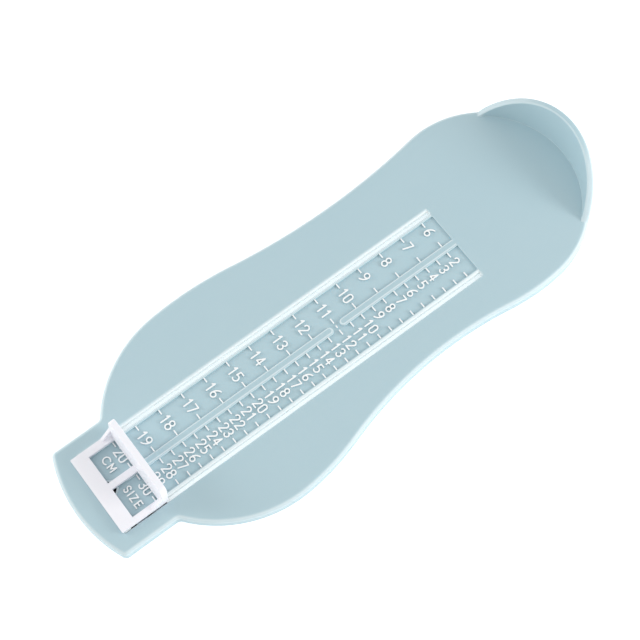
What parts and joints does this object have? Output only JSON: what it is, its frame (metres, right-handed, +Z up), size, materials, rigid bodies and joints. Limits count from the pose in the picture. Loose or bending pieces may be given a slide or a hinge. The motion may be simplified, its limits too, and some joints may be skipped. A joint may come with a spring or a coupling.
{
  "type": "foot gauge",
  "caption": "Small child's foot gauge: sole-shaped plate with a heel cup, a raised centimetre and shoe-size scale, and a toe stop that slides along two slots.",
  "frame": {"origin": "on the table under the middle of the part's bounding box, with the toe stop as stored at 19.5 cm", "axes": "+X from the heel cup to the toe end along the scale, +Y towards the shoe-size lane, +Z up from the table"},
  "size_m": [0.2292, 0.0885, 0.0235],
  "materials": {
    "plate_plastic": "pale blue moulded polystyrene, satin",
    "slider_plastic": "white moulded polystyrene, satin",
    "keeper_plastic": "black moulded polystyrene, matt",
    "mark_foil": "white hot-stamped tops of raised marks"
  },
  "bodies": {
    "plate": {"foot_plate": "plate_plastic", "cm_ticks": "mark_foil", "cm_numerals": "mark_foil", "size_ticks": "mark_foil", "size_numerals": "mark_foil", "unit_labels": "mark_foil"},
    "toe_stop": {"slider_frame": "slider_plastic", "slider_keeper": "keeper_plastic"}
  },
  "joints": [
    {"name": "toe_stop_slide", "type": "slide", "parent": "plate", "child": "toe_stop", "axis": [1, 0, 0], "range_m": [-0.143, 0.0047]}
  ]
}
